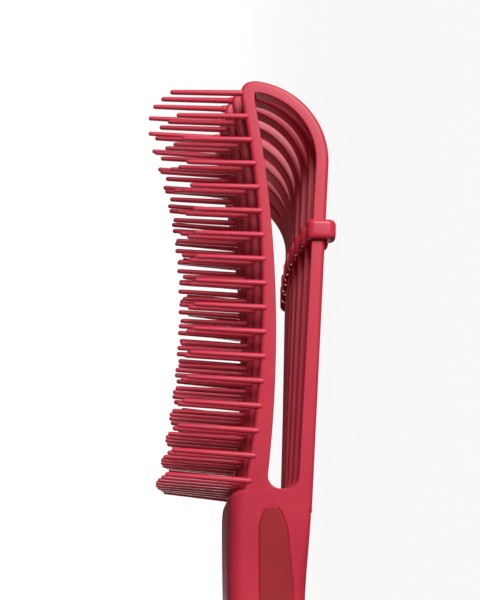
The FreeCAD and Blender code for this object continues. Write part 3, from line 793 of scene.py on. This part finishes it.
def build_grip(name, sign, material, replaced):
    """A soft inlay: a crowned skin with rounded edges, sunk into the handle's side."""
    data = bmesh.new()
    skin = inlay_rows(data, sign, is_skin=True)
    join_rows(data, skin)
    under = inlay_rows(data, sign, is_skin=False)
    join_rows(data, under)
    join_rings(data, [border(skin), border(under)], closed=False)
    return new_piece(name, data, material, "handle_body", [replaced])


# ---------------------------------------------------------------- materials

def moulded(name, colour, roughness, grain, spread, edge_lift):
    """Moulded plastic or rubber: fine grain, slow change of tone, a little more light on worn edges."""
    material = bpy.data.materials.new(name)
    material.use_nodes = True
    nodes, links = material.node_tree.nodes, material.node_tree.links
    shader = nodes["Principled BSDF"]
    shader.inputs["IOR"].default_value = 1.49
    shader.inputs["Specular IOR Level"].default_value = 0.42
    place = nodes.new("ShaderNodeTexCoord")

    def noise(scale, detail):
        node = nodes.new("ShaderNodeTexNoise")
        node.inputs["Scale"].default_value = scale
        node.inputs["Detail"].default_value = detail
        links.new(place.outputs["Object"], node.inputs["Vector"])
        return node

    def ramp(source, stops):
        node = nodes.new("ShaderNodeValToRGB")
        for number, (position, value) in enumerate(stops):
            stop = node.color_ramp.elements[number]
            stop.position = position
            stop.color = (*value, 1)
        links.new(source, node.inputs["Fac"])
        return node

    dark = tuple(channel * (1 - spread) for channel in colour)
    light = tuple(min(channel * (1 + spread), 1) for channel in colour)
    tone = ramp(noise(45, 5).outputs["Fac"], [(0.35, dark), (0.68, light)])
    geometry = nodes.new("ShaderNodeNewGeometry")
    wear = nodes.new("ShaderNodeMapRange")
    wear.inputs["From Min"].default_value = 0.52
    wear.inputs["From Max"].default_value = 0.62
    wear.inputs["To Max"].default_value = edge_lift
    links.new(geometry.outputs["Pointiness"], wear.inputs["Value"])
    mix = nodes.new("ShaderNodeMix")
    mix.data_type = "RGBA"
    links.new(wear.outputs["Result"], mix.inputs["Factor"])
    links.new(tone.outputs["Color"], mix.inputs["A"])
    mix.inputs["B"].default_value = (*[min(channel * 1.3 + 0.02, 1) for channel in colour], 1)
    links.new(mix.outputs["Result"], shader.inputs["Base Color"])
    gloss = nodes.new("ShaderNodeMapRange")
    gloss.inputs["To Min"].default_value = roughness - 0.06
    gloss.inputs["To Max"].default_value = roughness + 0.08
    links.new(noise(160, 6).outputs["Fac"], gloss.inputs["Value"])
    links.new(gloss.outputs["Result"], shader.inputs["Roughness"])
    fine = nodes.new("ShaderNodeBump")
    fine.inputs["Strength"].default_value = grain
    fine.inputs["Distance"].default_value = 0.00006
    links.new(noise(2600, 3).outputs["Fac"], fine.inputs["Height"])
    slow = nodes.new("ShaderNodeBump")
    slow.inputs["Strength"].default_value = 0.25
    slow.inputs["Distance"].default_value = 0.00012
    links.new(noise(220, 2).outputs["Fac"], slow.inputs["Height"])
    links.new(fine.outputs["Normal"], slow.inputs["Normal"])
    links.new(slow.outputs["Normal"], shader.inputs["Normal"])
    return material


def floor_material():
    """Pale matt floor that reads as the studio's white to the camera and still takes a soft shadow."""
    material = bpy.data.materials.new("studio_floor")
    material.use_nodes = True
    nodes, links = material.node_tree.nodes, material.node_tree.links
    shader = nodes["Principled BSDF"]
    shader.inputs["Base Color"].default_value = (0.9, 0.9, 0.9, 1)
    shader.inputs["Roughness"].default_value = 0.9
    shader.inputs["Specular IOR Level"].default_value = 0.1
    glow = nodes.new("ShaderNodeEmission")
    path = nodes.new("ShaderNodeLightPath")
    place = nodes.new("ShaderNodeNewGeometry")
    distance = nodes.new("ShaderNodeVectorMath")
    distance.operation = "LENGTH"
    links.new(place.outputs["Position"], distance.inputs[0])
    far = nodes.new("ShaderNodeMapRange")
    far.interpolation_type = "SMOOTHSTEP"
    far.inputs["From Min"].default_value = 0.15
    far.inputs["From Max"].default_value = 0.6
    far.inputs["To Min"].default_value = 0.93
    far.inputs["To Max"].default_value = 1.0
    links.new(distance.outputs["Value"], far.inputs["Value"])
    share = nodes.new("ShaderNodeMath")
    share.operation = "MULTIPLY"
    links.new(far.outputs["Result"], share.inputs[1])
    mix = nodes.new("ShaderNodeMixShader")
    links.new(path.outputs["Is Camera Ray"], share.inputs[0])
    links.new(share.outputs["Value"], mix.inputs["Fac"])
    links.new(shader.outputs["BSDF"], mix.inputs[1])
    links.new(glow.outputs["Emission"], mix.inputs[2])
    links.new(mix.outputs["Shader"], nodes["Material Output"].inputs["Surface"])
    return material


# ---------------------------------------------------------------- stage, light and camera

def build_floor():
    """A wide floor that the key light, whose disc stands partly below it, shines through."""
    mesh = bpy.data.meshes.new("floor")
    half = 30.0
    corners = [(-half, -half, 0), (half, -half, 0), (half, half, 0), (-half, half, 0)]
    mesh.from_pydata(corners, [], [(0, 1, 2, 3)])
    floor = bpy.data.objects.new("floor", mesh)
    bpy.context.scene.collection.objects.link(floor)
    floor.data.materials.append(floor_material())
    floor.visible_shadow = False


def build_world():
    """White to the camera, and a dimmer even fill for everything else."""
    world = bpy.data.worlds.new("studio")
    bpy.context.scene.world = world
    world.use_nodes = True
    nodes, links = world.node_tree.nodes, world.node_tree.links
    fill = nodes["Background"]
    fill.inputs["Color"].default_value = (1, 1, 1, 1)
    path = nodes.new("ShaderNodeLightPath")
    strength = nodes.new("ShaderNodeMapRange")
    strength.inputs["To Min"].default_value = 0.08
    strength.inputs["To Max"].default_value = 1.0
    links.new(path.outputs["Is Camera Ray"], strength.inputs["Value"])
    links.new(strength.outputs["Result"], fill.inputs["Strength"])


def add_light(name, place, target, size, power):
    """A round area light that faces its target."""
    light = bpy.data.lights.new(name, "AREA")
    light.shape = "DISK"
    light.size = size
    light.energy = power
    lamp = bpy.data.objects.new(name, light)
    bpy.context.scene.collection.objects.link(lamp)
    lamp.location = place
    lamp.rotation_euler = (Vector(target) - Vector(place)).to_track_quat("-Z", "Y").to_euler()


def build_lights():
    """A large key light on the camera's side and a weaker one on the far side."""
    middle = (0.03, 0.0, 0.03)
    add_light("key", (0.5, -0.92, -0.08), middle, 0.6, 12.3)
    add_light("rear", (-0.3, 0.95, 0.15), middle, 0.6, 5.5)


def build_camera():
    """The photo's camera, turned so that the pins point to the picture's left and the arms stand up."""
    camera = bpy.data.cameras.new("camera")
    camera.lens = 71.1
    camera.sensor_width = 36
    eye = bpy.data.objects.new("camera", camera)
    bpy.context.scene.collection.objects.link(eye)
    right = Vector((0.0125, -0.079, -0.9968)).normalized()
    forward = Vector((0.3089, 0.9484, -0.0713))
    forward = (forward - right * forward.dot(right)).normalized()
    up = right.cross(forward)
    turn = Matrix((right, up, -forward)).transposed()
    eye.matrix_world = Matrix.Translation((-0.06667, -0.37931, 0.0560)) @ turn.to_4x4()
    bpy.context.scene.camera = eye


crimson = moulded("crimson_plastic", (0.60, 0.031, 0.064), 0.42, 0.35, 0.05, 0.35)
clip_crimson = moulded("clip_plastic", (0.60, 0.031, 0.064), 0.36, 0.25, 0.05, 0.4)
rubber = moulded("grip_rubber", (0.37, 0.017, 0.026), 0.72, 0.7, 0.09, 0.15)

build_handle(crimson)
build_grip("grip_inlay_left", 1, rubber, "grip_left")
build_grip("grip_inlay_right", -1, rubber, "grip_right")
build_clip(clip_crimson)
for number in range(1, ARMS + 1):
    build_arm(number, crimson)
    build_pins(number, crimson)

build_floor()
build_world()
build_lights()
build_camera()
bpy.context.scene.view_settings.view_transform = "Standard"
